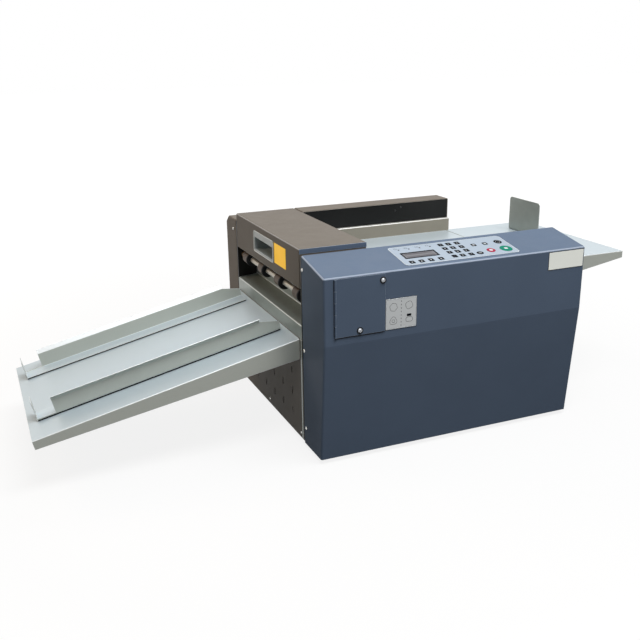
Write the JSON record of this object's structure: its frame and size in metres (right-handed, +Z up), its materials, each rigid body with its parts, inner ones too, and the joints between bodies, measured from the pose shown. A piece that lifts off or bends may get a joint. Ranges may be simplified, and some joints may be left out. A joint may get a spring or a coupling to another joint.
{
  "type": "paper creasing machine",
  "caption": "Desktop machine that feeds sheets from a table, creases them between wheels under a hinged cover and drops them on a sloping tray with sliding guides",
  "frame": {"origin": "On the floor under the middle of the whole machine, with its tray and its table.", "axes": "X runs from the delivery tray to the infeed table, Y from the control side to the drive side, Z up."},
  "size_m": [1.285, 0.6022, 0.411],
  "materials": {
    "housing_slate": "fine textured paint",
    "housing_taupe": "fine textured paint",
    "beam_black": "satin black paint",
    "sheet_grey": "light grey powder coat",
    "sheet_zinc": "zinc plated",
    "frame_steel": "grey primer",
    "bright_steel": "ground",
    "bronze": "sintered",
    "rubber_black": "matt",
    "feed_rubber": "matt",
    "hub_brown": "moulded",
    "plastic_black": "moulded",
    "plastic_grey": "moulded",
    "keypad_film": "printed film",
    "display_glass": "clear over grey",
    "key_green": "gloss",
    "key_red": "gloss",
    "board_green": "lacquered",
    "motor_alloy": "cast",
    "magnet_black": "matt"
  },
  "bodies": {
    "machine": {"base_plate": "frame_steel", "rubber_feet": "rubber_black", "front_side_frame": "frame_steel", "rear_side_frame": "frame_steel", "tie_bars": "bright_steel", "shaft_bushes": "bronze", "hinge_bridge": "sheet_zinc", "front_cover": "housing_slate", "keypad_panel": "keypad_film", "display_window": "display_glass", "control_board": "board_green", "power_supply": "sheet_zinc", "beam_cover": "housing_taupe", "beam_face": "beam_black", "rear_cover": "housing_taupe", "left_panel": "housing_taupe", "right_panel": "sheet_grey", "side_guide": "sheet_zinc", "infeed_table": "sheet_grey", "extension_table": "sheet_grey", "exit_chute": "sheet_zinc", "tray_brackets": "frame_steel", "delivery_tray": "sheet_grey", "tool_bearing_plate": "motor_alloy", "pickup_motor": "motor_alloy", "main_motor": "motor_alloy", "drive_belt": "rubber_black", "power_inlet": "plastic_black"},
    "cover": {"top_cover": "housing_taupe", "grip_cup": "plastic_grey"},
    "door": {"access_door": "housing_slate"},
    "upper_screw": {"upper_thumb_screw": "plastic_black"},
    "lower_screw": {"lower_thumb_screw": "plastic_black"},
    "start_button": {"start_key": "key_green"},
    "stop_button": {"stop_key": "key_red"},
    "sheet_stop": {"back_stop": "sheet_grey"},
    "sheet_stop_knob": {"back_stop_knob": "plastic_black"},
    "rear_guide": {"rear_tray_guide": "sheet_grey", "rear_guide_strip": "magnet_black"},
    "front_guide": {"front_tray_guide": "sheet_grey", "front_guide_strip": "magnet_black"},
    "exit_roller": {"exit_shaft": "bright_steel", "exit_hubs": "hub_brown", "exit_tyres": "rubber_black", "exit_pulley": "motor_alloy"},
    "pinch": {"pinch_roller": "bright_steel"},
    "lower_feed": {"lower_feed_roller": "bright_steel", "feed_gear_pulley": "motor_alloy"},
    "upper_feed": {"upper_feed_roller": "bright_steel"},
    "lower_tool": {"lower_tool_shaft": "bright_steel", "anvil_wheels": "bright_steel", "tool_gear_pulley": "motor_alloy"},
    "upper_tool": {"upper_tool_shaft": "bright_steel", "crease_wheels": "bright_steel", "tool_shaft_knob": "plastic_black"},
    "pickup": {"pickup_shaft": "bright_steel", "pickup_wheels": "feed_rubber"},
    "motor_rotor": {"motor_pulley": "motor_alloy"},
    "rocker": {"power_switch": "plastic_black"}
  },
  "joints": [
    {"name": "cover_hinge", "type": "hinge", "parent": "machine", "child": "cover", "pos_m": [0.01106, 0, 0.4046], "axis": [0, 1, 0], "range_deg": [0, 75]},
    {"name": "door_hinge", "type": "hinge", "parent": "machine", "child": "door", "pos_m": [-0.10334, -0.2972, 0.2652], "axis": [0, 0, -1], "range_deg": [0, 110]},
    {"name": "upper_screw_turn", "type": "hinge", "parent": "door", "child": "upper_screw", "pos_m": [-0.00694, -0.2954, 0.3648], "axis": [0, 1, 0], "continuous": true},
    {"name": "lower_screw_turn", "type": "hinge", "parent": "door", "child": "lower_screw", "pos_m": [-0.05384, -0.2954, 0.2737], "axis": [0, 1, 0], "continuous": true},
    {"name": "start_press", "type": "slide", "parent": "machine", "child": "start_button", "axis": [0, 0.1848, -0.9828], "range_m": [0, 0.0005], "stiffness_N_per_m": 400, "springref_m": -0.001},
    {"name": "stop_press", "type": "slide", "parent": "machine", "child": "stop_button", "axis": [0, 0.1848, -0.9828], "range_m": [0, 0.0005], "stiffness_N_per_m": 400, "springref_m": -0.001},
    {"name": "stop_slide", "type": "slide", "parent": "machine", "child": "sheet_stop", "axis": [1, 0, 0], "range_m": [-0.09, 0.034]},
    {"name": "stop_knob_turn", "type": "hinge", "parent": "sheet_stop", "child": "sheet_stop_knob", "pos_m": [0.57846, 0.0496, 0.33], "axis": [0, 0, 1], "continuous": true},
    {"name": "rear_guide_slide", "type": "slide", "parent": "machine", "child": "rear_guide", "axis": [0, 1, 0], "range_m": [-0.08, 0.045]},
    {"name": "front_guide_slide", "type": "slide", "parent": "machine", "child": "front_guide", "axis": [0, 1, 0], "range_m": [-0.06, 0.08]},
    {"name": "exit_roller_turn", "type": "hinge", "parent": "machine", "child": "exit_roller", "pos_m": [-0.10814, 0, 0.31], "axis": [0, 1, 0], "continuous": true},
    {"name": "pinch_turn", "type": "hinge", "parent": "machine", "child": "pinch", "pos_m": [-0.10814, 0, 0.3343], "axis": [0, 1, 0], "continuous": true},
    {"name": "lower_feed_turn", "type": "hinge", "parent": "machine", "child": "lower_feed", "pos_m": [-0.02554, 0, 0.3197], "axis": [0, 1, 0], "continuous": true},
    {"name": "upper_feed_turn", "type": "hinge", "parent": "machine", "child": "upper_feed", "pos_m": [-0.02554, 0, 0.34], "axis": [0, 1, 0], "continuous": true},
    {"name": "lower_tool_turn", "type": "hinge", "parent": "machine", "child": "lower_tool", "pos_m": [-0.05954, 0, 0.3157], "axis": [0, 1, 0], "continuous": true},
    {"name": "upper_tool_turn", "type": "hinge", "parent": "machine", "child": "upper_tool", "pos_m": [-0.05954, 0, 0.344], "axis": [0, 1, 0], "continuous": true},
    {"name": "pickup_turn", "type": "hinge", "parent": "machine", "child": "pickup", "pos_m": [0.00146, 0, 0.3464], "axis": [0, 1, 0], "continuous": true},
    {"name": "motor_turn", "type": "hinge", "parent": "machine", "child": "motor_rotor", "pos_m": [-0.05554, 0, 0.17], "axis": [0, 1, 0], "continuous": true},
    {"name": "power_rocker", "type": "hinge", "parent": "machine", "child": "rocker", "pos_m": [0.35646, 0.2971, 0.066], "axis": [1, 0, 0], "range_deg": [0, 10]}
  ],
  "couplings": [
    {"joint": "lower_tool_turn", "follows": "exit_roller_turn", "ratio": 1.0601},
    {"joint": "upper_tool_turn", "follows": "exit_roller_turn", "ratio": -1.0601},
    {"joint": "lower_feed_turn", "follows": "exit_roller_turn", "ratio": 1.4778},
    {"joint": "upper_feed_turn", "follows": "exit_roller_turn", "ratio": -1.4778},
    {"joint": "pinch_turn", "follows": "exit_roller_turn", "ratio": -1.6667},
    {"joint": "motor_turn", "follows": "exit_roller_turn", "ratio": 1.2}
  ]
}
